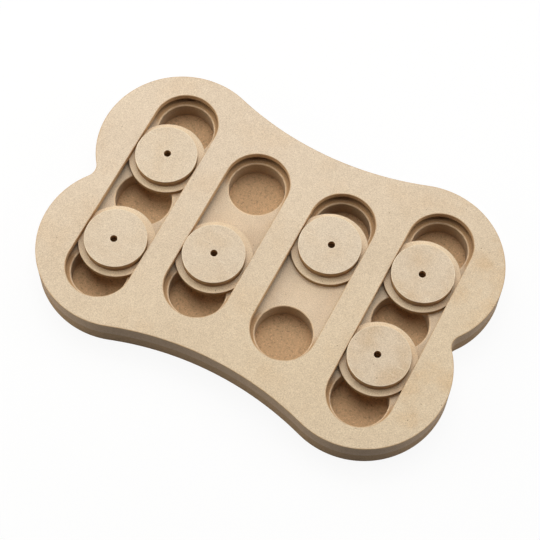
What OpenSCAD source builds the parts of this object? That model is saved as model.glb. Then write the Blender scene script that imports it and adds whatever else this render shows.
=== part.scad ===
// Bone-shaped treat puzzle for dogs, made of MDF.
//
// A slotted top plate is glued to a base board with round treat cups. Each slot widens into an
// undercut channel at the underside of the top plate. A slider is a wide guide disc, held down by
// the lips of the slot, with a narrower grip disc glued on it that stands up through the slot. The
// dog pushes the sliders along the slots to uncover the cups, and smells the food through the hole
// in each slider.
//
// Lengths are in millimetres. The origin is in the middle of the underside. +X runs along the
// board, +Y along the slots and +Z up. "Far" is the +Y end of a slot and "near" its -Y end.

/* [Board outline] */
// Length of the board over its lobes
board_l = 300; // [285:1:330]
// Width of the board over its lobes
board_w = 200; // [190:1:220]
// Width of the board at its waist
waist_w = 170; // [160:1:180]
// Radius of each of the four lobes
lobe_r = 59; // [55:0.5:63]
// Radius of the fillet between the two lobes at each end
notch_r = 9; // [5:0.5:14]

/* [Boards] */
// Thickness of the slotted top plate
top_t = 9; // [8:0.5:12]
// Thickness of the base board
base_t = 16; // [12:0.5:22]

/* [Slots] */
// Solid border between each end of the board and the slot nearest to it
end_border = 29; // [26:0.5:33]
// Solid border between the ends of the two outer slots and the edge of the board
outer_border = 16; // [12:0.5:22]
// Solid border between the ends of the two inner slots and the edge of the board
inner_border = 21.5; // [16:0.5:26]

/* [Cups] */
// Diameter of each treat cup
cup_d = 39; // [30:0.5:42]
// Thickness of wood left under each cup
cup_floor_t = 2.5; // [2:0.5:5]

/* [Sliders] */
// Diameter of the grip disc
grip_d = 43; // [40:0.5:44]
// Thickness of the grip disc
grip_t = 7; // [6:0.5:12]
// Diameter of the guide disc
guide_d = 53; // [51:0.5:54]
// Thickness of the guide disc
guide_t = 4; // [3:0.25:4.5]
// Diameter of the scent hole through both discs
scent_d = 5; // [3:0.5:8]
// Bevel on the top edge of each disc
disc_bevel = 0.4; // [0.2:0.1:1]

/* [Running clearances] */
// Gap between the grip disc and each side of its slot
grip_gap = 1.2; // [0.8:0.05:1.5]
// Gap between the guide disc and each side of its channel
guide_gap = 2; // [1.8:0.05:2.5]
// Gap between the guide disc and the lip above it
lift_gap = 0.5; // [0.3:0.05:1]
// Least gap left at the side of a grip disc that stands aside in its slot
side_gap = 0.3; // [0.2:0.05:0.5]

/* [Slider 1] */
// Where it stands along its travel in slot 1, from 0 at the near stop to 1 at the far stop
slider_1_along = 0.77; // [0.7:0.001:1]
// Where it stands across its play in the slot, from -1 at the left to 1 at the right
slider_1_aside = 0.2; // [-1:0.05:1]
// How far its guide disc is glued off the middle of its grip disc
slider_1_guide_off = [-0.1, 0.9]; // [-1:0.1:1]
// How far its hole is drilled off the middle of its grip disc
slider_1_hole_off = [0.4, 1]; // [-1.5:0.1:1.5]

/* [Slider 2] */
// Where it stands along its travel in slot 1, from 0 at the near stop to 1 at the far stop
slider_2_along = 0.183; // [0:0.001:0.24]
// Where it stands across its play in the slot, from -1 at the left to 1 at the right
slider_2_aside = 0.6; // [-1:0.05:1]
// How far its guide disc is glued off the middle of its grip disc
slider_2_guide_off = [0, 1]; // [-1:0.1:1]
// How far its hole is drilled off the middle of its grip disc
slider_2_hole_off = [-0.8, -1.1]; // [-1.5:0.1:1.5]

/* [Slider 3] */
// Where it stands along its travel in slot 2, from 0 at the near stop to 1 at the far stop
slider_3_along = 0.292; // [0:0.001:1]
// Where it stands across its play in the slot, from -1 at the left to 1 at the right
slider_3_aside = -1; // [-1:0.05:1]
// How far its guide disc is glued off the middle of its grip disc
slider_3_guide_off = [0, 0.5]; // [-1:0.1:1]
// How far its hole is drilled off the middle of its grip disc
slider_3_hole_off = [0, 0.4]; // [-1.5:0.1:1.5]

/* [Slider 4] */
// Where it stands along its travel in slot 3, from 0 at the near stop to 1 at the far stop
slider_4_along = 0.782; // [0:0.001:1]
// Where it stands across its play in the slot, from -1 at the left to 1 at the right
slider_4_aside = -0.15; // [-1:0.05:1]
// How far its guide disc is glued off the middle of its grip disc
slider_4_guide_off = [0, 0.2]; // [-1:0.1:1]
// How far its hole is drilled off the middle of its grip disc
slider_4_hole_off = [0.9, 0.6]; // [-1.5:0.1:1.5]

/* [Slider 5] */
// Where it stands along its travel in slot 4, from 0 at the near stop to 1 at the far stop
slider_5_along = 0.786; // [0.73:0.001:1]
// Where it stands across its play in the slot, from -1 at the left to 1 at the right
slider_5_aside = -0.9; // [-1:0.05:1]
// How far its guide disc is glued off the middle of its grip disc
slider_5_guide_off = [-0.6, 0.8]; // [-1:0.1:1]
// How far its hole is drilled off the middle of its grip disc
slider_5_hole_off = [-0.2, -0.8]; // [-1.5:0.1:1.5]

/* [Slider 6] */
// Where it stands along its travel in slot 4, from 0 at the near stop to 1 at the far stop
slider_6_along = 0.237; // [0:0.001:0.27]
// Where it stands across its play in the slot, from -1 at the left to 1 at the right
slider_6_aside = -1; // [-1:0.05:1]
// How far its guide disc is glued off the middle of its grip disc
slider_6_guide_off = [-0.4, 0.3]; // [-1:0.1:1]
// How far its hole is drilled off the middle of its grip disc
slider_6_hole_off = [-1.3, 0.3]; // [-1.5:0.1:1.5]

/* [Hidden] */
$fn = 180;
cut = 1; // how far a cutting shape runs past the face that it opens

// Slots and channels follow the discs that run in them.
slot_w = grip_d + 2 * grip_gap;
channel_w = guide_d + 2 * guide_gap;
channel_h = guide_t + lift_gap;

// Centres of the lobes, of the waist arcs and of the notch fillets. A waist arc touches two lobes
// from outside, and a notch fillet touches the two lobes at one end.
lobe_x = board_l / 2 - lobe_r;
lobe_y = board_w / 2 - lobe_r;
waist_drop = waist_w / 2 - lobe_y;
waist_r = (pow(lobe_x, 2) + pow(waist_drop, 2) - pow(lobe_r, 2)) / (2 * (lobe_r - waist_drop));
waist_y = waist_w / 2 + waist_r;
notch_x = lobe_x + sqrt(pow(lobe_r + notch_r, 2) - pow(lobe_y, 2));

// Corners of the core, halfway along the lines between the centres of the lobes and of the waist
// arcs, where both arcs meet
core_x = lobe_x / 2;
core_y = (lobe_y + waist_y) / 2;
lap = 0.02; // how far a waist or notch arc cuts into a lobe, so that they cross and don't just touch

// Four slots, evenly spaced. half_run is the distance from the middle of the board to the stop at
// each end of a slot, which is also where the end cups are.
slot_count = 4;
outer_x = board_l / 2 - end_border - slot_w / 2;
slot_pitch = 2 * outer_x / (slot_count - 1);
outer_edge_y = lobe_y + sqrt(pow(lobe_r, 2) - pow(outer_x - lobe_x, 2));
inner_edge_y = waist_y - sqrt(pow(waist_r, 2) - pow(slot_pitch / 2, 2));
outer_half_run = outer_edge_y - outer_border - slot_w / 2;
inner_half_run = inner_edge_y - inner_border - slot_w / 2;

function is_outer(slot) = slot == 0 || slot == slot_count - 1;
function slot_x(slot) = -outer_x + slot * slot_pitch;
function half_run(slot) = is_outer(slot) ? outer_half_run : inner_half_run;
function cup_places(slot) = is_outer(slot)
    ? [-half_run(slot), 0, half_run(slot)]
    : [-half_run(slot), half_run(slot)];

// Each slider: its slot, its place along the slot, its place across its play in the slot, and the
// middles of its guide disc and of its hole, both from the middle of its grip disc
SLIDERS = [
    [0, slider_1_along, slider_1_aside, slider_1_guide_off, slider_1_hole_off],
    [0, slider_2_along, slider_2_aside, slider_2_guide_off, slider_2_hole_off],
    [1, slider_3_along, slider_3_aside, slider_3_guide_off, slider_3_hole_off],
    [2, slider_4_along, slider_4_aside, slider_4_guide_off, slider_4_hole_off],
    [3, slider_5_along, slider_5_aside, slider_5_guide_off, slider_5_hole_off],
    [3, slider_6_along, slider_6_aside, slider_6_guide_off, slider_6_hole_off],
];
function slider_x(i) = slot_x(SLIDERS[i][0]) + SLIDERS[i][2] * (grip_gap - side_gap);
function slider_y(i) = half_run(SLIDERS[i][0]) * (2 * SLIDERS[i][1] - 1);
function guide_off(i) = SLIDERS[i][3];
function hole_off(i) = SLIDERS[i][4];

function guide_name(i) = str("slider_", i + 1, "_guide_disc");
function grip_name(i) = str("slider_", i + 1, "_grip_disc");

// The outline of the bone: four lobes, and a core that the waist arcs and notch fillets cut back
module bone_outline() {
    for (sx = [-1, 1], sy = [-1, 1]) translate([sx * lobe_x, sy * lobe_y]) circle(r = lobe_r);
    difference() {
        polygon([
            [core_x, core_y], [-core_x, core_y], [-lobe_x, lobe_y], [-notch_x, 0],
            [-lobe_x, -lobe_y], [-core_x, -core_y], [core_x, -core_y], [lobe_x, -lobe_y],
            [notch_x, 0], [lobe_x, lobe_y],
        ]);
        for (sy = [-1, 1])
            translate([0, sy * waist_y]) circle(r = waist_r + lap, $fn = 4 * $fn);
        for (sx = [-1, 1]) translate([sx * notch_x, 0]) circle(r = notch_r + lap);
    }
}

// A straight slot with round ends, along Y
module round_ended(width, half_length) {
    square([width, 2 * half_length], center = true);
    for (sy = [-1, 1]) translate([0, sy * half_length]) circle(d = width);
}

// A flat disc with a bevel round its top edge, and a hole drilled through it at a given place
module disc(diameter, thickness, hole_place) {
    difference() {
        rotate_extrude() polygon([
            [0, 0],
            [diameter / 2, 0],
            [diameter / 2, thickness - disc_bevel],
            [diameter / 2 - disc_bevel, thickness],
            [0, thickness],
        ]);
        translate([hole_place.x, hole_place.y, -cut])
            cylinder(d = scent_d, h = thickness + 2 * cut);
    }
}

// The base board, with the blind treat cups
module base_board() {
    color([0.80, 0.70, 0.56]) difference() {
        linear_extrude(base_t) bone_outline();
        for (slot = [0 : slot_count - 1], y = cup_places(slot))
            translate([slot_x(slot), y, cup_floor_t]) cylinder(d = cup_d, h = base_t);
    }
}

// The top plate, with its slots and the wider channels milled in its underside
module top_plate() {
    color([0.86, 0.78, 0.66]) translate([0, 0, base_t]) difference() {
        linear_extrude(top_t) bone_outline();
        for (slot = [0 : slot_count - 1]) translate([slot_x(slot), 0, -cut]) {
            linear_extrude(top_t + 2 * cut) round_ended(slot_w, half_run(slot));
            linear_extrude(channel_h + cut) round_ended(channel_w, half_run(slot));
        }
    }
}

// Put a piece of slider i where that slider rests on the base board
module at_slider(i) translate([slider_x(i), slider_y(i), base_t]) children();

// The wide disc of a slider, which runs in the channel
module guide_disc(i) color([0.84, 0.76, 0.64]) at_slider(i)
    translate(guide_off(i)) disc(guide_d, guide_t, hole_off(i) - guide_off(i));

// The narrow disc of a slider, glued on the guide disc
module grip_disc(i) color([0.87, 0.79, 0.67]) at_slider(i)
    translate([0, 0, guide_t]) disc(grip_d, grip_t, hole_off(i));

base_board();
top_plate();
for (i = [0 : len(SLIDERS) - 1]) {
    guide_disc(i);
    grip_disc(i);
}
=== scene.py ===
# %% [markdown]
# # A bone-shaped treat puzzle for dogs, in raw MDF
# The real toy is two boards glued together. The upper one has four slots, and in them run six round
# sliders that hide the treat cups of the lower one. Every piece is cut from medium density
# fibreboard, so the whole toy is one substance with three faces: the pale sanded face of the sheet,
# the browner sawn side, and the darker bored cups.
# The lesson shows how little a good wooden surface needs: shapes given by a profile that is
# carried round an outline, a mask that knows where the edges are, and a few noise patterns.

# %% Load the fixed frame
import math

import bpy
import numpy as np
from mathutils import Matrix, Vector
from mathutils.geometry import tessellate_polygon


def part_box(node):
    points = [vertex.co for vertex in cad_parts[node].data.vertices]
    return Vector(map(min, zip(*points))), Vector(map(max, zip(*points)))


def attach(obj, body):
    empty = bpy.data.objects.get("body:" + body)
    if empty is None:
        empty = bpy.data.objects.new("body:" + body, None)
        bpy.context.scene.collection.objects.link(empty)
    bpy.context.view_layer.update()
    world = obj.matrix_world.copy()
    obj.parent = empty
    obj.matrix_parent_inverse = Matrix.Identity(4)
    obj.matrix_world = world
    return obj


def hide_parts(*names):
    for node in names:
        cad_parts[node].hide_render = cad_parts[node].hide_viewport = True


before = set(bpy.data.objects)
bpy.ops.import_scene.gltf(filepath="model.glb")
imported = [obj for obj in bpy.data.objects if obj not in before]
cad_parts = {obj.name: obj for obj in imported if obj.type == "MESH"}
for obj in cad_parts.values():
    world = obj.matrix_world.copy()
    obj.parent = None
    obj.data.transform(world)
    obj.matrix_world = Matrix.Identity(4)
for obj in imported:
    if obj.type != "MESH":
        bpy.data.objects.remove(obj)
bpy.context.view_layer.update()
MM = 0.001

# %% [markdown]
# ## Helpers for shader nodes
# A material is a tree of small nodes. Each of these helpers adds one node and hands back what it
# gives, so that the recipes further down read almost like sums.

# %% Adding and feeding nodes
def add(tree, kind, **settings):
    """Adds a node. A setting that names an input sets its value, any other is a property."""
    node = tree.nodes.new("ShaderNode" + kind)
    for key, value in settings.items():
        label = key.replace("_", " ").title()
        if label in node.inputs:
            node.inputs[label].default_value = value
        else:
            setattr(node, key, value)
    return node


def fed(tree, kind, value, **settings):
    """Adds a node and links a socket to its first input."""
    node = add(tree, kind, **settings)
    tree.links.new(value, node.inputs[0])
    return node


def fill_sockets(tree, sockets, values):
    """Gives each socket its value, which is another socket to link or a plain value to set."""
    for socket, value in zip(sockets, values):
        if isinstance(value, bpy.types.NodeSocket):
            tree.links.new(value, socket)
        else:
            socket.default_value = value


def mix(tree, factor, first, second, blend="MIX"):
    """Mixes two colours. Each argument is a socket to link or a plain value."""
    node = add(tree, "Mix", data_type="RGBA", blend_type=blend)
    fill_sockets(tree, (node.inputs[0], node.inputs[6], node.inputs[7]), (factor, first, second))
    return node.outputs[2]


def math_node(tree, operation, first, second=0.0, clamp=False):
    """A single sum. Each argument is a socket to link or a number."""
    node = add(tree, "Math", operation=operation, use_clamp=clamp)
    fill_sockets(tree, node.inputs, (first, second))
    return node.outputs[0]


def ramp(tree, value, low_in, high_in, low_out=0.0, high_out=1.0):
    """Carries a value from one range to another, and stops at the ends."""
    node = fed(tree, "MapRange", value)
    sockets = [node.inputs[name] for name in ("From Min", "From Max", "To Min", "To Max")]
    fill_sockets(tree, sockets, (low_in, high_in, low_out, high_out))
    return node.outputs["Result"]


print("node helpers:", [helper.__name__ for helper in (add, fed, mix, math_node, ramp)])

# %% [markdown]
# ### Colours and groups
# Colours are easiest to pick on a screen, but a shader reckons in linear light, so they are turned
# into it. A pattern that several materials share becomes a group with named sockets.

# %% Colours and groups
WHITE = (1, 1, 1, 1)


def srgb(red, green, blue):
    """A colour picked on screen, 0 to 255, as the linear colour that a shader wants."""
    share = np.array((red, green, blue)) / 255
    linear = np.where(share <= 0.04045, share / 12.92, ((share + 0.055) / 1.055) ** 2.4)
    return (*linear.tolist(), 1.0)


def new_group(name, inputs, outputs):
    """An empty node group with named sockets. Returns its tree, its inputs and its output node."""
    tree = bpy.data.node_groups.new(name, "ShaderNodeTree")
    for side, sockets in (("INPUT", inputs), ("OUTPUT", outputs)):
        for label, kind in sockets:
            tree.interface.new_socket(label, in_out=side, socket_type="NodeSocket" + kind)
    return tree, tree.nodes.new("NodeGroupInput").outputs, tree.nodes.new("NodeGroupOutput").inputs


print("a pale wood colour in linear light:", [round(v, 3) for v in srgb(221, 203, 173)[:3]])

# %% [markdown]
# ## The camera
# A flat toy is shown from high up, so that the cups can be seen into. A long lens keeps the slots
# parallel. The camera is placed by angles round a point on the top face, which is easier to judge
# than three coordinates.

# %% Camera
CAMERA_TURN = math.radians(25.89)
CAMERA_HEIGHT_ANGLE = math.radians(66.21)
CAMERA_ROLL = math.radians(1.80)
CAMERA_DISTANCE = 1211 * MM
CAMERA_LENS = 120.13
CAMERA_SENSOR = 36
CAMERA_NEAREST = 50 * MM
CAMERA_TARGET = Vector((5.1, -10.22, 25.0)) * MM


def make_camera():
    """Looks along minus the back vector: (sin t cos h, -cos t cos h, sin h) for turn t, height h."""
    turn, height = CAMERA_TURN, CAMERA_HEIGHT_ANGLE
    back = Vector((math.sin(turn) * math.cos(height),
                   -math.cos(turn) * math.cos(height),
                   math.sin(height)))
    level_right = Vector((math.cos(turn), math.sin(turn), 0))
    level_up = back.cross(level_right)
    right = math.cos(CAMERA_ROLL) * level_right + math.sin(CAMERA_ROLL) * level_up
    up = math.cos(CAMERA_ROLL) * level_up - math.sin(CAMERA_ROLL) * level_right
    data = bpy.data.cameras.new("camera")
    data.lens = CAMERA_LENS
    data.sensor_width = CAMERA_SENSOR
    data.clip_start = CAMERA_NEAREST
    camera = bpy.data.objects.new("camera", data)
    turned = Matrix((right, up, back)).transposed().to_4x4()
    camera.matrix_world = Matrix.Translation(CAMERA_TARGET + CAMERA_DISTANCE * back) @ turned
    bpy.context.scene.collection.objects.link(camera)
    bpy.context.scene.camera = camera
    return camera


camera = make_camera()
print("camera stands at", [round(v, 3) for v in camera.matrix_world.translation])

# %% [markdown]
# ## Light
# Wood looks flat under light from the front. Here the soft lamps stand over the toy, behind it and
# beside it, and none in front: the near walls of the boards and sliders fall into shade, and below
# each lip the channel turns dark. Each lamp is given by the light that it throws on a level face,
# as red, green and blue shares. With the faint sky they add up to a little over 1, so a colour
# comes out about as written. The lamp overhead leans back a little, and the right one behind is
# slightly cool. The lamps at the sides are warm, so the walls turn golden. On the left the lamps
# are nearer or stronger, and the light falls off toward the right.

# %% Sky and lamps
# azimuth, height angle, distance in metres, and light on a level face
LAMPS = {
    "overhead": (math.radians(116), math.radians(77), 1.8, (0.345, 0.34, 0.33)),
    "left back": (math.radians(142), math.radians(50), 1.4, (0.235, 0.235, 0.235)),
    "right back": (math.radians(82), math.radians(50), 1.4, (0.18, 0.185, 0.19)),
    "right": (math.radians(26), math.radians(22), 1.8, (0.14, 0.135, 0.125)),
    "left": (math.radians(206), math.radians(22), 1.1, (0.16, 0.149, 0.128)),
}
LAMP_SPREAD = 0.67
SKY = (0.037, 0.038, 0.041)


def seen_plainly(tree):
    """1 for a ray from the camera, a gloss or glass, which sees white surroundings, 0 for light."""
    path = add(tree, "LightPath")
    value = path.outputs["Is Camera Ray"]
    for ray in ("Is Glossy Ray", "Is Transmission Ray"):
        value = math_node(tree, "MAXIMUM", value, path.outputs[ray])
    return value


def make_world():
    """A faint even sky that fills the shadows. The camera itself sees plain white."""
    world = bpy.data.worlds.new("studio")
    world.use_nodes = True
    tree = world.node_tree
    tree.nodes.clear()
    sky = fed(tree, "Background", mix(tree, seen_plainly(tree), (*SKY, 1), WHITE))
    fed(tree, "OutputWorld", sky.outputs["Background"])
    bpy.context.scene.world = world


def make_lamp(name, turn, height, distance, light):
    """A square softbox at azimuth t, height angle h, toward (cos t cos h, sin t cos h, sin h)."""
    direction = Vector((math.cos(turn) * math.cos(height),
                        math.sin(turn) * math.cos(height),
                        math.sin(height)))
    data = bpy.data.lights.new(name, "AREA")
    data.shape = "SQUARE"
    data.size = LAMP_SPREAD * distance
    data.color = [part / max(light) for part in light]
    # radiance L = power / (pi * area); light on the face = L * area * sin(height) / distance squared
    data.energy = max(light) * math.pi ** 2 * distance ** 2 / math.sin(height)
    lamp = bpy.data.objects.new(name, data)
    lamp.location = direction * distance
    lamp.rotation_euler = direction.to_track_quat("Z", "Y").to_euler()
    bpy.context.scene.collection.objects.link(lamp)


make_world()
for name, settings in LAMPS.items():
    make_lamp(name, *settings)
bpy.context.scene.view_settings.view_transform = "Standard"
level = [round(sum(part), 2) for part in zip(SKY, *(lamp[-1] for lamp in LAMPS.values()))]
print("light on a level face:", level)

# %% [markdown]
# ## The floor
# The toy lies on white paper. Paper that is truly white would light the side walls from below, so
# this one looks white to the camera and throws back only half the light. Most of its white is a
# glow, which no shadow darkens. The rest is lit paper, and it keeps a faint shadow near the toy.

# %% Floor
FLOOR_RADIUS = 6.0
FLOOR_STEPS = 64
FLOOR_TONE = 0.5
FLOOR_ROUGHNESS = 0.9
SHADOW_SHARE = 0.09
SHADOW_FADE = (0.4, 1.2)


def white_paper():
    """Half-white for light. For the camera a mix of glow and shaded white that keeps a shadow."""
    paper = bpy.data.materials.new("white paper")
    paper.use_nodes = True
    tree = paper.node_tree
    shader = tree.nodes["Principled BSDF"]
    shader.inputs["Roughness"].default_value = FLOOR_ROUGHNESS
    shader.inputs["Specular IOR Level"].default_value = 0.0
    seen = seen_plainly(tree)
    tree.links.new(ramp(tree, seen, 0, 1, FLOOR_TONE, 1), shader.inputs["Base Color"])
    place = add(tree, "TexCoord").outputs["Object"]
    away = fed(tree, "VectorMath", place, operation="LENGTH").outputs["Value"]
    glowing = ramp(tree, away, *SHADOW_FADE, 1 - SHADOW_SHARE, 1)
    both = fed(tree, "MixShader", math_node(tree, "MULTIPLY", seen, glowing))
    tree.links.new(shader.outputs[0], both.inputs[1])
    tree.links.new(add(tree, "Emission").outputs[0], both.inputs[2])
    tree.links.new(both.outputs[0], tree.nodes["Material Output"].inputs["Surface"])
    return paper


def make_floor():
    """A wide disc of points (r cos a, r sin a, 0)."""
    angles = np.linspace(0, 2 * np.pi, FLOOR_STEPS, endpoint=False)
    rim = FLOOR_RADIUS * np.column_stack((np.cos(angles), np.sin(angles), np.zeros_like(angles)))
    mesh = bpy.data.meshes.new("floor")
    mesh.from_pydata(rim.tolist(), [], [list(range(len(rim)))])
    mesh.materials.append(white_paper())
    floor = bpy.data.objects.new("floor", mesh)
    bpy.context.scene.collection.objects.link(floor)
    return floor


floor = make_floor()
print("floor in metres:", [round(v, 2) for v in floor.dimensions])

# %% [markdown]
# ## A profile carried round an outline
# Nearly every surface of this toy is the same idea: a short profile, drawn as steps out and up, is
# carried round a closed outline. Round the outside that gives the side wall. Round a slot it gives
# the lip, its underside and the channel. Sharp corners never look real, so each corner of a profile
# becomes a small curve with a flat strip beside it that keeps the shading of the flats clean.
# Three numbers travel with every point: how near it is to an outer edge, how the wood was cut
# there, and how stained the piece is. The materials read them later.

# %% Profiles with softened corners
CORNER_STEPS = 4
SIDE_STRIP = 0.35 * MM


def soften(corners):
    """Rows of (out, up, radius, edge, cut) to rows of (out, up, edge, cut).

    Each inner corner C turns into the curve (1-t)^2 A + 2t(1-t) C + t^2 B, where A and B lie one
    radius away on its two sides. cut says what the side after the corner is: 0 sanded, 1 sawn, 2 cut
    clean by a sharp cutter, 3 rubbed by the side of the cutter, a tone that under the lips of the top
    plate is a dark painted shade.
    """
    corners = np.asarray(corners, float)
    rows = [[*corners[0, :2], 0, corners[0, 4]]]
    t = np.linspace(0, 1, CORNER_STEPS + 1)[:, None]
    for before, corner, after in zip(corners[:-2], corners[1:-1], corners[2:]):
        here, radius, edge = corner[:2], corner[2], corner[3]
        back = (before[:2] - here) / np.linalg.norm(before[:2] - here)
        ahead = (after[:2] - here) / np.linalg.norm(after[:2] - here)
        a, b = here + radius * back, here + radius * ahead
        curve = (1 - t) ** 2 * a + 2 * t * (1 - t) * here + t ** 2 * b
        cut = (1 - t) * before[4] + t * corner[4]
        rows.append([*(a + SIDE_STRIP * back), 0, before[4]])
        rows.extend(np.hstack((curve, np.full_like(t, edge), cut)).tolist())
        rows.append([*(b + SIDE_STRIP * ahead), 0, corner[4]])
    rows.append([*corners[-1, :2], 0, corners[-2, 4]])
    return np.array(rows)


def carry(loop, profile):
    """Point = loop point + out * loop's outward normal, at height up: rows are the profile."""
    across = loop["at"][None] + profile[:, 0, None, None] * loop["out"][None]
    height = np.broadcast_to(profile[:, 1, None, None], (*across.shape[:2], 1))
    return np.concatenate((across, height), axis=2)


demo = soften([(-2 * MM, 0, 0, 0, 0), (0, 0, 0.4 * MM, 1, 1), (0, 9 * MM, 0, 0, 1)])
print("one softened corner has", len(demo), "points")

# %% [markdown]
# ### A closed skin
# A piece has to be closed all round, or light leaks into it. A small builder collects the rings of
# its profiles, joins each ring to the next with quads, and covers the level areas between them with
# triangles, which may have holes.

# %% A builder for closed meshes
class Shell:
    """Grows one closed mesh out of rings of points, with masks for the materials."""

    MASKS = ("edge", "cut", "stain")

    def __init__(self):
        self.points, self.masks, self.faces, self.count = [], [], [], 0

    def add_rings(self, rings, masks):
        """Joins rows of points (rows, around, 3) into bands of quads and returns the point numbers."""
        rows, around = rings.shape[:2]
        number = self.count + np.arange(rows * around).reshape(rows, around)
        self.count += rows * around
        self.points.append(rings.reshape(-1, 3))
        self.masks.append(np.repeat(masks, around, axis=0))
        self.join(number)
        return number

    def join(self, number):
        """One quad between each point, its neighbour round the ring, and the same two one row on."""
        ahead = np.roll(number, -1, axis=1)
        quads = np.stack((number[:-1], ahead[:-1], ahead[1:], number[1:]), axis=-1)
        self.faces.extend(quads.reshape(-1, 4).tolist())

    def fill(self, outer, holes=(), up=True):
        """Covers the level area inside one ring and outside others with triangles."""
        loops = [outer, *holes]
        points = np.concatenate(self.points)
        numbers = np.concatenate(loops)
        triangles = np.array(tessellate_polygon([[Vector(p) for p in points[loop]] for loop in loops]))
        corner = points[numbers[triangles]]
        side_a, side_b = corner[:, 1] - corner[:, 0], corner[:, 2] - corner[:, 0]
        area = side_a[:, 0] * side_b[:, 1] - side_a[:, 1] * side_b[:, 0]
        wrong = (area < 0) == up
        triangles[wrong] = triangles[wrong][:, ::-1]
        self.faces.extend(numbers[triangles].tolist())

    def build(self, name, stain=0.0):
        """Writes the mesh, smooth all over, and its masks as point attributes."""
        points, masks = np.concatenate(self.points), np.concatenate(self.masks)
        mesh = bpy.data.meshes.new(name)
        mesh.from_pydata(points.tolist(), [], self.faces)
        mesh.polygons.foreach_set("use_smooth", np.ones(len(mesh.polygons), bool))
        stained = np.full(len(masks), stain)
        for mask, values in zip(self.MASKS, (masks[:, 0], masks[:, 1], stained)):
            layer = mesh.attributes.new(mask, "FLOAT", "POINT")
            layer.data.foreach_set("value", values.astype(np.float32))
        mesh.update()
        piece = bpy.data.objects.new(name, mesh)
        bpy.context.scene.collection.objects.link(piece)
        return piece


print("masks that travel with the points:", Shell.MASKS)

# %% [markdown]
# ## The outline of the bone
# A bone shape is easy to draw by hand and hard to draw well. Here it is four equal circles, the
# lobes, joined by arcs that just touch them: a wide hollow arc at each waist and a small one in
# each end. One quarter is worked out, and mirrored for the rest.

# %% Outline of the bone
LOBE_R = 59 * MM
NOTCH_R = 9 * MM
WAIST_W = 170 * MM
OUTLINE_STEP = 1.4 * MM

low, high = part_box("base_board")
BOARD_L, BOARD_W = high.x - low.x, high.y - low.y
BASE_TOP = high.z
PLATE_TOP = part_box("top_plate")[1].z
lobe_x, lobe_y = BOARD_L / 2 - LOBE_R, BOARD_W / 2 - LOBE_R
waist_drop = WAIST_W / 2 - lobe_y
waist_r = (lobe_x ** 2 + waist_drop ** 2 - LOBE_R ** 2) / (2 * (LOBE_R - waist_drop))
waist_y = WAIST_W / 2 + waist_r
notch_x = lobe_x + math.sqrt((LOBE_R + NOTCH_R) ** 2 - lobe_y ** 2)


def arc(centre, radius, start, end, hollow=False):
    """Points centre + radius (cos a, sin a) from start up to, but not at, end. Normals point out."""
    steps = max(4, round(abs(end - start) * radius / OUTLINE_STEP))
    angle = start + (end - start) * np.arange(steps) / steps
    spoke = np.column_stack((np.cos(angle), np.sin(angle)))
    return np.array(centre) + radius * spoke, -spoke if hollow else spoke


def bone_loop():
    """Notch, lobe and waist arcs of the first quarter, then its mirror images, anticlockwise."""
    to_notch = math.atan2(-lobe_y, notch_x - lobe_x)
    to_waist = math.atan2(waist_y - lobe_y, -lobe_x)
    quarter = [
        arc((notch_x, 0), NOTCH_R, math.pi, to_notch + math.pi, hollow=True),
        arc((lobe_x, lobe_y), LOBE_R, to_notch, to_waist),
        arc((0, waist_y), waist_r, to_waist - math.pi, -math.pi / 2, hollow=True),
    ]
    at, out = (np.concatenate(part) for part in zip(*quarter))
    at, out = np.vstack((at, (0, WAIST_W / 2))), np.vstack((out, (0, 1)))
    across = np.array((-1, 1))
    half = [np.vstack((part, part[-2::-1] * across)) for part in (at, out)]
    at, out = (np.vstack((part[:-1], -part[:-1])) for part in half)
    return {"at": at, "out": out}


bone = bone_loop()
print("outline points:", len(bone["at"]), "waist radius in mm:", round(waist_r / MM, 1))

# %% [markdown]
# ## The slots and cups
# A slot is the path of a round cutter: half a circle at each end and two straight sides. All the
# profiles of a slot are carried round one loop, the line that the cutter's middle follows, so the
# slot, its lip and the wider channel stay parallel by themselves.

# %% Slot and cup loops
SLOT_W = 45.4 * MM
CHANNEL_W = 57 * MM
CHANNEL_H = 4.5 * MM
END_BORDER, OUTER_BORDER, INNER_BORDER = 29 * MM, 16 * MM, 21.5 * MM
CUP_R = 19.5 * MM
CUP_FLOOR = 2.5 * MM
ROUND_STEPS = 160
STRAIGHT_STEPS = 40

outer_x = BOARD_L / 2 - END_BORDER - SLOT_W / 2
slot_pitch = 2 * outer_x / 3
outer_run = lobe_y + math.sqrt(LOBE_R ** 2 - (outer_x - lobe_x) ** 2) - OUTER_BORDER - SLOT_W / 2
inner_run = waist_y - math.sqrt(waist_r ** 2 - (slot_pitch / 2) ** 2) - INNER_BORDER - SLOT_W / 2
SLOTS = [(-outer_x, outer_run), (-slot_pitch / 2, inner_run),
         (slot_pitch / 2, inner_run), (outer_x, outer_run)]
CUPS = [(x, y) for x, run in SLOTS for y in ((-run, 0, run) if run == outer_run else (-run, run))]


def circle_loop(x, y, steps=ROUND_STEPS):
    """A loop of no size at (x, y) whose normals are (cos a, sin a), so that out is a radius."""
    angle = 2 * np.pi * np.arange(steps) / steps
    spoke = np.column_stack((np.cos(angle), np.sin(angle)))
    return {"at": np.tile((x, y), (steps, 1)).astype(float), "out": spoke}


def slot_loop(x, run):
    """Far end, left side, near end, right side: the middle line of the cutter with its normals."""
    half = circle_loop(0, 0)["out"][:ROUND_STEPS // 2 + 1]
    side = np.linspace(run, -run, STRAIGHT_STEPS + 2)[1:-1]
    far = (np.tile((x, run), (len(half), 1)), half)
    left = (np.column_stack((np.full_like(side, x), side)), np.tile((-1.0, 0.0), (len(side), 1)))
    near = (np.tile((x, -run), (len(half), 1)), -half)
    right = (np.column_stack((np.full_like(side, x), -side)), np.tile((1.0, 0.0), (len(side), 1)))
    at, out = (np.concatenate(part) for part in zip(far, left, near, right))
    return {"at": at, "out": out}


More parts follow.
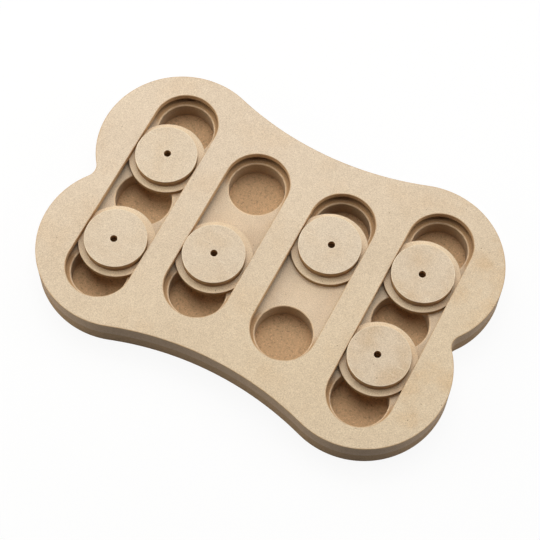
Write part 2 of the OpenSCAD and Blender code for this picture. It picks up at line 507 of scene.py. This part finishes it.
print("slots in mm:", [(round(x / MM, 1), round(run / MM, 1)) for x, run in SLOTS], "cups:", len(CUPS))

# %% [markdown]
# ## The base board
# The lower board is 16 mm thick and holds the ten blind cups, bored with a flat cutter. Its top
# face shows as the pale floor of the channels. The underside lies on the floor.

# %% Base board
FLAT_RIM = 2 * MM
OUTER_ROUND = 0.5 * MM
GLUE_ROUND = 0.04 * MM
CUP_ROUND = 0.8 * MM
INNER_ROUND = 0.2 * MM
CUP_FLOOR_RINGS = 12


def base_board():
    """Side wall round the bone, ten cups as profiles of revolution, and two level faces."""
    shell = Shell()
    side = soften([(-FLAT_RIM, 0, 0, 0, 0), (0, 0, OUTER_ROUND, 1, 1),
                   (0, BASE_TOP, GLUE_ROUND, 0, 0), (-FLAT_RIM, BASE_TOP, 0, 0, 0)])
    wall = shell.add_rings(carry(bone, side), side[:, 2:])
    cup = soften([(CUP_R + FLAT_RIM, BASE_TOP, 0, 0, 0), (CUP_R, BASE_TOP, CUP_ROUND, 1, 3),
                  (CUP_R, CUP_FLOOR, INNER_ROUND, 0, 2), (CUP_R / 2, CUP_FLOOR, 0, 0, 2)])
    floor_r = np.linspace(cup[-1, 0], cup[-1, 0] / CUP_FLOOR_RINGS, CUP_FLOOR_RINGS)[1:]
    bottom = np.column_stack((floor_r, np.full_like(floor_r, CUP_FLOOR),
                              np.zeros_like(floor_r), np.full_like(floor_r, 2)))
    cup = np.vstack((cup, bottom))
    mouths = []
    for x, y in CUPS:
        rings = shell.add_rings(carry(circle_loop(x, y), cup), cup[:, 2:])
        shell.fill(rings[-1])
        mouths.append(rings[0])
    shell.fill(wall[-1], mouths)
    shell.fill(wall[0], up=False)
    return shell.build("base_board_wood")


base = base_board()
print("base board:", len(base.data.polygons), "faces")

# %% [markdown]
# ## The top plate
# The upper board is 9 mm thick. Seen from above it shows only the slots, but the lip under their edge
# matters: the dark line below it is what makes the slots look undercut. That line is real shade,
# deepened by a dark painted shade on the underside of the lip and on the channel wall.

# %% Top plate
LIP_ROUND = 0.45 * MM


def top_plate():
    """Side wall round the bone, and in each slot the lip, its underside and the channel wall."""
    shell = Shell()
    lip_z = BASE_TOP + CHANNEL_H
    side = soften([(-FLAT_RIM, BASE_TOP, 0, 0, 0), (0, BASE_TOP, GLUE_ROUND, 0, 1),
                   (0, PLATE_TOP, OUTER_ROUND, 1, 0), (-FLAT_RIM, PLATE_TOP, 0, 0, 0)])
    wall = shell.add_rings(carry(bone, side), side[:, 2:])
    slot_r, channel_r = SLOT_W / 2, CHANNEL_W / 2
    # the lip's underside and the channel wall take cut 3, a dark tone that paints the shade under the
    # lip
    slot = soften([(slot_r + FLAT_RIM, PLATE_TOP, 0, 0, 0), (slot_r, PLATE_TOP, LIP_ROUND, 1, 2),
                   (slot_r, lip_z, LIP_ROUND / 2, 1, 3), (channel_r, lip_z, INNER_ROUND, 0, 3),
                   (channel_r, BASE_TOP, GLUE_ROUND, 0, 0), (channel_r + FLAT_RIM, BASE_TOP, 0, 0, 0)])
    rings = [shell.add_rings(carry(slot_loop(x, run), slot), slot[:, 2:]) for x, run in SLOTS]
    shell.fill(wall[-1], [ring[0] for ring in rings])
    shell.fill(wall[0], [ring[-1] for ring in rings], up=False)
    return shell.build("top_plate_wood")


top = top_plate()
print("top plate:", len(top.data.polygons), "faces")

# %% [markdown]
# ## The sliders
# A slider is two discs glued on each other, cut out of MDF with a hole saw, with a hole for the
# smell of the food. The holes are drilled by eye, so each sits a little off the middle. A disc with
# such a hole is still a ring of rings: the centre of each ring moves from the middle of the disc to
# the middle of the hole as its radius shrinks. The lower edges are rounded too, which leaves a fine
# dark line below each disc. The guide disc glides a hair above the board, so that no two faces lie
# in one plane.

# %% Slider discs
HOLE_R = 2.5 * MM
DISC_ROUND = 0.35 * MM
DISC_FOOT_ROUND = 0.5 * MM
HOLE_ROUND = 0.25 * MM
FACE_RINGS = 10
GLIDE = 0.02 * MM
# place of each hole from the middle of its grip disc in mm, and how stained that disc is
HOLES = {1: (0.4, 1), 2: (-0.8, -1.1), 3: (0, 0.4), 4: (0.9, 0.6), 5: (-0.2, -0.8), 6: (-1.3, 0.3)}
STAINS = {1: 0.3, 2: 0.3, 3: 0.3, 4: 0.0, 5: 0.7, 6: 1.0}


def disc(name, middle, radius, low_z, high_z, hole, stain):
    """Rings of radius r whose centre is middle + share * (hole - middle); share is 1 at the hole."""
    side = soften([(radius - FLAT_RIM, low_z, 0, 0, 0), (radius, low_z, DISC_FOOT_ROUND, 0, 1),
                   (radius, high_z, DISC_ROUND, 1, 0), (radius - FLAT_RIM, high_z, 0, 0, 0)])
    bore = soften([(HOLE_R + FLAT_RIM, high_z, 0, 0, 0), (HOLE_R, high_z, HOLE_ROUND, 1, 1),
                   (HOLE_R, low_z, HOLE_ROUND, 0, 0), (HOLE_R + FLAT_RIM, low_z, 0, 0, 0)])
    inward = np.linspace(side[-1, 0], bore[0, 0], FACE_RINGS + 2)[1:-1]
    face = np.column_stack((inward, np.full_like(inward, high_z), 0 * inward, 0 * inward))
    rows = np.vstack((side, face, bore))
    share = np.clip((side[-1, 0] - rows[:, 0]) / (side[-1, 0] - bore[0, 0]), 0, 1)
    share[len(rows) - len(bore):] = 1
    loop = circle_loop(*middle)
    rings = carry(loop, rows)
    rings[:, :, :2] += (share[:, None] * (np.array(hole) - middle))[:, None]
    shell = Shell()
    number = shell.add_rings(rings, rows[:, 2:])
    shell.join(number[[-1, 0]])
    return shell.build(name, stain)


discs = {}
for slider, offset in HOLES.items():
    low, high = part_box(f"slider_{slider}_grip_disc")
    grip_middle = np.array((low.x + high.x, low.y + high.y)) / 2
    hole = grip_middle + np.array(offset) * MM
    for part in ("guide", "grip"):
        low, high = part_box(f"slider_{slider}_{part}_disc")
        middle = np.array((low.x + high.x, low.y + high.y)) / 2
        name = f"slider_{slider}_{part}_wood"
        stain = STAINS[slider] if part == "grip" else 0.0
        bottom = low.z + (GLIDE if part == "guide" else 0)
        discs[slider, part] = disc(name, middle, (high.x - low.x) / 2, bottom, high.z, hole, stain)
print("discs:", len(discs), "faces each:", len(discs[1, "grip"].data.polygons))

# %% [markdown]
# ## What MDF looks like
# MDF is pressed wood fibre. On its sanded face one sees a pale, even tan with a faint cloudiness,
# short fibres a little lighter or darker than the rest, and a few dark specks of bark. Where it is
# sawn or bored the fibres stand up: the wood turns browner and rougher, with streaks along the
# sheet. Each effect is built once as a node group, and each kind of piece sets its own colours.
#
# ### Sanded face
# Three sizes of pattern lie over each other: clouds of a few centimetres, a mottle of a few
# millimetres, and fibres under a millimetre. Dark fibres are warmer than pale ones, so the pattern
# works less on red and more on blue. The specks are the rare cells of a cell pattern whose random
# number is high, so they are scattered and not in rows. Some are dark and some are pale flecks.
# Use leaves its marks as well: pinkish-brown patches, strongest near the right end. A slow warming and
# darkening toward the near right is painted light, standing in for the light falling off across the
# board.

# %% Group: sanded fibre
# scale, detail, roughness and depth of the clouds, the mottle and the fibres
FACE_NOISES = ((22, 2, 0.5, 0.030), (190, 3, 0.6, 0.036), (1250, 3, 0.7, 0.24))
FACE_SPREAD = (0.25, 0.75)
FIBRE_TINT = (0.87, 1.0, 1.12)
BLUSH = (0.96, 0.89, 0.80, 1)
BLUSH_SCALE = 34
BLUSH_SHIFT = (-0.26, -0.01, 0)
BLUSH_RANGE = (0.50, 0.74)
HANDLED = (80 * MM, 140 * MM, 0.5, 1.5)
# painted fall-off of the light: a warmer, slightly darker tint toward the near right
PAINTED_FALLOFF_TOWARD = (0.6, -0.8, 0)
PAINTED_FALLOFF_REACH = 80 * MM
SPECK, FLECK = srgb(132, 100, 68), srgb(244, 230, 206)
SPECK_SCALE = 330
SPECK_RARE, FLECK_RARE = (0.90, 0.98), (0.86, 0.97)
SPECK_EDGE = (0.08, 0.19, 0.7, 0.0)


def sanded_group():
    """Colour = base * (1 + pattern * tint) * patches * painted fall-off of the light, then specks;
    height is fibre.
    """
    tree, given, out = new_group(
        "sanded fibre",
        [("Vector", "Vector"), ("Base", "Color"), ("Contrast", "Float"), ("Yellowed", "Color")],
        [("Color", "Color"), ("Height", "Float")])
    place = given["Vector"]
    patterns = []
    for scale, detail, roughness, depth in FACE_NOISES:
        noise = fed(tree, "TexNoise", place, scale=scale, detail=detail, roughness=roughness)
        patterns.append(ramp(tree, noise.outputs["Fac"], *FACE_SPREAD, -depth, depth))
    clouds, mottle, fibre = patterns
    total = math_node(tree, "ADD", math_node(tree, "ADD", clouds, mottle), fibre)
    total = math_node(tree, "MULTIPLY", total, given["Contrast"])
    gain = add(tree, "CombineXYZ")
    for share, socket in zip(FIBRE_TINT, gain.inputs):
        tree.links.new(math_node(tree, "ADD", math_node(tree, "MULTIPLY", total, share), 1.0), socket)
    toned = mix(tree, 1.0, given["Base"], gain.outputs["Vector"], "MULTIPLY")

    shifted = fed(tree, "VectorMath", place, operation="ADD")
    shifted.inputs[1].default_value = BLUSH_SHIFT
    noise = fed(tree, "TexNoise", shifted.outputs[0], scale=BLUSH_SCALE, detail=5, roughness=0.6)
    patches = ramp(tree, noise.outputs["Fac"], *BLUSH_RANGE)
    handled = ramp(tree, fed(tree, "SeparateXYZ", place).outputs["X"], *HANDLED)
    patches = math_node(tree, "MULTIPLY", patches, handled, clamp=True)
    toned = mix(tree, patches, toned, BLUSH, "MULTIPLY")
    # painted light: warmer and darker toward the near right, for the light falling off
    along = fed(tree, "VectorMath", place, operation="DOT_PRODUCT")
    along.inputs[1].default_value = PAINTED_FALLOFF_TOWARD
    falloff_share = ramp(tree, along.outputs["Value"], -PAINTED_FALLOFF_REACH, PAINTED_FALLOFF_REACH)
    toned = mix(tree, falloff_share, toned, given["Yellowed"], "MULTIPLY")

    cells = fed(tree, "TexVoronoi", place, scale=SPECK_SCALE)
    near = ramp(tree, cells.outputs["Distance"], *SPECK_EDGE)
    chance = fed(tree, "SeparateColor", cells.outputs["Color"]).outputs
    for number, rare, colour in ((0, SPECK_RARE, SPECK), (1, FLECK_RARE, FLECK)):
        spot = math_node(tree, "MULTIPLY", ramp(tree, chance[number], *rare), near)
        toned = mix(tree, spot, toned, colour)
    tree.links.new(toned, out["Color"])
    tree.links.new(fibre, out["Height"])
    return tree


SANDED = sanded_group()
print("group:", SANDED.name)

# %% [markdown]
# ### Sawn and bored wood
# A saw tears the fibres, so the pattern is coarser and has more contrast. MDF is pressed in flat
# layers, which show as streaks that run level: the noise is squeezed in height.

# %% Group: sawn fibre
SAWN_SQUEEZE = (1, 1, 3)
# scale and shown range of the dark and of the pale strands
SAWN_NOISES = ((620, 0.50, 0.72), (1100, 0.52, 0.75))


def sawn_group():
    """Two noises stretched along the sheet, dark and pale, over the base colour."""
    tree, given, out = new_group(
        "sawn fibre",
        [("Vector", "Vector"), ("Base", "Color"), ("Dark", "Color"), ("Pale", "Color"),
         ("Contrast", "Float")],
        [("Color", "Color"), ("Height", "Float")])
    squeezed = fed(tree, "VectorMath", given["Vector"], operation="MULTIPLY")
    squeezed.inputs[1].default_value = SAWN_SQUEEZE
    masks = []
    for scale, *shown in SAWN_NOISES:
        noise = fed(tree, "TexNoise", squeezed.outputs[0], scale=scale, detail=4, roughness=0.65)
        strands = ramp(tree, noise.outputs["Fac"], *shown)
        masks.append(math_node(tree, "MULTIPLY", strands, given["Contrast"], clamp=True))
    dark, pale = masks
    darker = mix(tree, dark, given["Base"], given["Dark"])
    tree.links.new(mix(tree, pale, darker, given["Pale"]), out["Color"])
    tree.links.new(math_node(tree, "SUBTRACT", pale, dark), out["Height"])
    return tree


SAWN = sawn_group()
print("group:", SAWN.name)

# %% [markdown]
# ### Scratches
# Paws and nails push the sliders about, and leave short fine lines on their faces. A scratch is
# a noise that is stretched about fifteen times along one line, of which only the highest parts
# show. A second, softer noise keeps the lines to a few patches.

# %% Group: scratches
# direction in degrees and fineness of each family of lines
SCRATCH_TURNS = ((35, 900), (-50, 800), (80, 1000))
SCRATCH_LENGTH = 60
SCRATCH_SHIFT = (0.7, 0.4, 0)
SCRATCH_LINES = (0.66, 0.75)
SCRATCH_PATCHES = (0.54, 0.68)
PATCH_SCALE, PATCH_SCALE_STEP = 45, 12


def scratch_group():
    """Mask = the high part of a stretched, turned noise * patches, for each of a few directions."""
    tree, given, out = new_group("scratches", [("Vector", "Vector")], [("Mask", "Float")])
    place = given["Vector"]
    total = 0.0
    for number, (turn, fine) in enumerate(SCRATCH_TURNS):
        turned = fed(tree, "Mapping", place, scale=(SCRATCH_LENGTH, fine, 1),
                     location=[number * part for part in SCRATCH_SHIFT],
                     rotation=(0, 0, math.radians(turn)))
        lines = fed(tree, "TexNoise", turned.outputs["Vector"], scale=1, detail=1)
        scale = PATCH_SCALE + PATCH_SCALE_STEP * number
        patches = fed(tree, "TexNoise", place, scale=scale, detail=1)
        shown = math_node(tree, "MULTIPLY", ramp(tree, lines.outputs["Fac"], *SCRATCH_LINES),
                          ramp(tree, patches.outputs["Fac"], *SCRATCH_PATCHES))
        total = math_node(tree, "MAXIMUM", shown, total)
    tree.links.new(total, out["Mask"])
    return tree


SCRATCHES = scratch_group()
print("group:", SCRATCHES.name)

# %% [markdown]
# ### Worn edges
# Sandpaper and paws round off the outer edges and leave a thin line there, golden on the top plate
# and pale on the other pieces. The edge mask that came with the mesh says where, and a noise breaks
# the line up, because wear is never even.

# %% Group: worn edge
WEAR_SCALE = 240
WEAR_RANGE = (0.3, 0.65, 0.25, 1.0)


def edge_group():
    """Wear = edge mask * (noise between two levels) * amount, and the colour mixed by it."""
    tree, given, out = new_group(
        "worn edge",
        [("Vector", "Vector"), ("Color", "Color"), ("Worn", "Color"), ("Amount", "Float")],
        [("Color", "Color")])
    edge = add(tree, "Attribute", attribute_name="edge").outputs["Fac"]
    noise = fed(tree, "TexNoise", given["Vector"], scale=WEAR_SCALE, detail=3, roughness=0.6)
    wear = math_node(tree, "MULTIPLY", edge, ramp(tree, noise.outputs["Fac"], *WEAR_RANGE))
    wear = math_node(tree, "MULTIPLY", wear, given["Amount"])
    tree.links.new(mix(tree, wear, given["Color"], given["Worn"]), out["Color"])
    return tree


EDGE = edge_group()
print("group:", EDGE.name)

# %% [markdown]
# ### Painted shade at the channel ends
# At each end of a channel the floor lies in the shade of the lip, and that shade is painted into the
# colour as a golden brown. The mark is worked out from the place itself: how far a point lies from the
# nearest slot's middle line, and how far past the end of that line. It starts at the rim of the end
# cup.

# %% Group: painted shade at the channel ends
END_SHADE_FADE = 9 * MM


def end_shade_group():
    """Painted shade mask = ramp of sqrt(p p + q q), with p across the nearest slot line and q past its
    end.
    """
    tree, given, out = new_group("burnt ends", [("Vector", "Vector")], [("Mask", "Float")])
    parts = fed(tree, "SeparateXYZ", given["Vector"]).outputs
    from_first = math_node(tree, "ADD", parts["X"], outer_x)
    across = math_node(tree, "PINGPONG", from_first, slot_pitch / 2)
    aside = math_node(tree, "ABSOLUTE", parts["X"])
    run = ramp(tree, aside, slot_pitch, slot_pitch + MM, inner_run, outer_run)
    past = math_node(tree, "SUBTRACT", math_node(tree, "ABSOLUTE", parts["Y"]), run)
    beyond = math_node(tree, "MAXIMUM", past, 0.0)
    squares = [math_node(tree, "MULTIPLY", side, side) for side in (across, beyond)]
    reach = math_node(tree, "SQRT", math_node(tree, "ADD", *squares))
    ring = ramp(tree, reach, CUP_R - MM, CUP_R + MM)
    ends = ramp(tree, past, -END_SHADE_FADE, 0)
    tree.links.new(math_node(tree, "MULTIPLY", ring, ends), out["Mask"])
    return tree


END_SHADE_GROUP = end_shade_group()
print("group:", END_SHADE_GROUP.name)

# %% [markdown]
# ### The wood of each piece
# One recipe makes all four finishes. The cut mask chooses the tone: sanded, sawn, cut clean by a sharp
# cutter, or rubbed by the cutter's side, which on the top plate is a dark painted shade under the
# lips. The sawn sides are darker below a set height. Stains, scratches and the painted shade at the
# channel ends lie on the sanded face only, worn edges come on top of everything, and the same fibres
# lift the surface a few hundredths of a millimetre.

# %% The wood recipe
FACE_CONTRAST = 1.2
SAWN_CONTRAST = 0.8
DARK_FIBRE = 0.50
PALE_FIBRE = 1.55
CLEAN_CUT = srgb(207, 171, 131)
STAIN = (0.88, 0.81, 0.72, 1)
STAIN_SCALE = 55
STAIN_RANGE = (0.42, 0.66, 0.25, 1.0)
SCRATCH = srgb(246, 234, 212)
# painted shade at the channel ends, a golden brown multiplied into the sanded face
END_SHADE_TONE = (0.77, 0.59, 0.42, 1)
# height below which the sawn sides take the darker tone low_sawn
SIDE_STEP_HEIGHT = 12 * MM
STEP_BLUR = 0.35 * MM
GLOSS = 0.25
ROUGHNESS = (0.72, 0.9)
RELIEF_STRENGTH = 0.35
RELIEF_DEPTH = 0.15 * MM
GRIP_MIDDLE = sum(corner.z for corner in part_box("slider_1_grip_disc")) / 2


def place_group(tree, group, coordinates, **values):
    """Puts a node group into a material, with its own colours and numbers."""
    node = add(tree, "Group", node_tree=group)
    tree.links.new(coordinates, node.inputs["Vector"])
    for label, value in values.items():
        node.inputs[label].default_value = value
    return node


def wood(name, face, sawn, low_sawn, step, rubbed_and_shade, worn, wear, scuffed, painted_shade=False,
         painted_falloff=WHITE):
    """MDF with its own colours. A sawn wall has the tone low_sawn below the height of the step. The
    rubbed tone is, on the top plate, a dark painted shade under the lips.
    """
    material = bpy.data.materials.new(name)
    material.use_nodes = True
    tree = material.node_tree
    shader = tree.nodes["Principled BSDF"]
    shader.inputs["Specular IOR Level"].default_value = GLOSS
    place = add(tree, "TexCoord").outputs["Object"]

    kind = add(tree, "Attribute", attribute_name="cut").outputs["Fac"]
    cut, clean, rub_and_shade = (ramp(tree, kind, start, start + 1) for start in (0, 1, 2))
    height = fed(tree, "SeparateXYZ", place).outputs["Z"]
    upper = ramp(tree, height, step - STEP_BLUR, step + STEP_BLUR)
    tone = mix(tree, clean, mix(tree, upper, low_sawn, sawn), CLEAN_CUT)
    # cut 3: rubbed wood, and on the top plate a dark painted shade under the lips
    tone = mix(tree, rub_and_shade, tone, rubbed_and_shade)
    sawn_wood = place_group(tree, SAWN, place, Contrast=SAWN_CONTRAST)
    for label, factor in (("Base", 1.0), ("Dark", DARK_FIBRE), ("Pale", PALE_FIBRE)):
        shaded = mix(tree, 1.0, tone, (factor, factor, factor, 1), "MULTIPLY")
        tree.links.new(shaded, sawn_wood.inputs[label])

    face_wood = place_group(tree, SANDED, place, Base=face, Contrast=FACE_CONTRAST,
                            Yellowed=painted_falloff)
    stain = add(tree, "Attribute", attribute_name="stain").outputs["Fac"]
    blots = fed(tree, "TexNoise", place, scale=STAIN_SCALE, detail=2).outputs["Fac"]
    stained = math_node(tree, "MULTIPLY", stain, ramp(tree, blots, *STAIN_RANGE))
    marked = mix(tree, stained, face_wood.outputs["Color"], STAIN, "MULTIPLY")
    scratches = place_group(tree, SCRATCHES, place).outputs["Mask"]
    marked = mix(tree, math_node(tree, "MULTIPLY", scratches, scuffed), marked, SCRATCH)
    # painted shade under the lips at the ends of each channel
    if painted_shade:
        end_shade_mask = place_group(tree, END_SHADE_GROUP, place).outputs["Mask"]
        marked = mix(tree, end_shade_mask, marked, END_SHADE_TONE, "MULTIPLY")

    edges = place_group(tree, EDGE, place, Amount=wear, Worn=worn)
    tree.links.new(mix(tree, cut, marked, sawn_wood.outputs["Color"]), edges.inputs["Color"])
    tree.links.new(edges.outputs["Color"], shader.inputs["Base Color"])
    relief = fed(tree, "Mix", cut)
    tree.links.new(face_wood.outputs["Height"], relief.inputs[2])
    tree.links.new(sawn_wood.outputs["Height"], relief.inputs[3])
    bump = add(tree, "Bump", strength=RELIEF_STRENGTH, distance=RELIEF_DEPTH)
    tree.links.new(relief.outputs[0], bump.inputs["Height"])
    tree.links.new(bump.outputs["Normal"], shader.inputs["Normal"])
    tree.links.new(ramp(tree, cut, 0, 1, *ROUGHNESS), shader.inputs["Roughness"])
    return material


print("the wood is mixed from:", [group.name for group in (SANDED, SAWN, SCRATCHES, END_SHADE_GROUP, EDGE)])

# %% [markdown]
# ### Four finishes
# The two boards and the two kinds of disc come from different sheets, so their tones differ a little.
# The lips of the top plate are cut clean, and the underside of each lip and the channel wall below it
# carry a dark painted shade. The walls of the cups are greyer than their clean floors. The guide discs
# are the palest, and the grip discs have the most scratches. The top plate also carries a painted
# fall-off of the light toward its near right, and the base board the painted shade at the channel
# ends.

# %% The four woods
SAWN_PLATE, SAWN_GUIDE, SAWN_GRIP = srgb(185, 162, 139), srgb(172, 140, 102), srgb(184, 148, 106)
WOODS = {
    "top": wood("top plate MDF", srgb(222, 203, 179), SAWN_PLATE, SAWN_PLATE, SIDE_STEP_HEIGHT,
                # the dark rubbed tone here is painted shade on the lip undersides and channel walls
                rubbed_and_shade=srgb(110, 84, 56), worn=srgb(206, 170, 122), wear=0.65, scuffed=0.12,
                # a painted fall-off of the light toward the near right
                painted_falloff=(0.995, 0.975, 0.905, 1)),
    "base": wood("base board MDF", srgb(226, 203, 174), srgb(188, 165, 142), srgb(174, 147, 118),
                 SIDE_STEP_HEIGHT, rubbed_and_shade=srgb(186, 164, 138), worn=srgb(244, 216, 178), wear=0.85,
                 # the base board carries the painted shade at the channel ends
                 scuffed=0.3, painted_shade=True),
    "guide": wood("guide disc MDF", srgb(235, 212, 180), SAWN_GUIDE, SAWN_GUIDE, 0,
                  rubbed_and_shade=SAWN_GUIDE, worn=srgb(236, 214, 182), wear=0.7, scuffed=0.3),
    "grip": wood("grip disc MDF", srgb(222, 204, 180), SAWN_GRIP, srgb(150, 120, 88), GRIP_MIDDLE,
                 rubbed_and_shade=SAWN_GRIP, worn=srgb(250, 236, 210), wear=0.7, scuffed=0.7),
}
print("materials:", [material.name for material in WOODS.values()])

# %% [markdown]
# ## Dressing the frame
# Each wooden mesh takes the place of its plain solid, which is hidden, rides on the body that the
# solid belongs to, and gets the material of its finish.

# %% Put the pieces on their bodies
def dress(piece, node, body, material):
    """Gives a piece its material and its body, and hides the plain solid that it stands for."""
    piece.data.materials.append(material)
    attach(piece, body)
    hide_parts(node)


dress(base, "base_board", "board", WOODS["base"])
dress(top, "top_plate", "board", WOODS["top"])
for (slider, part), piece in discs.items():
    dress(piece, f"slider_{slider}_{part}_disc", f"slider_{slider}", WOODS[part])
print("dressed pieces:", len(discs) + 2)
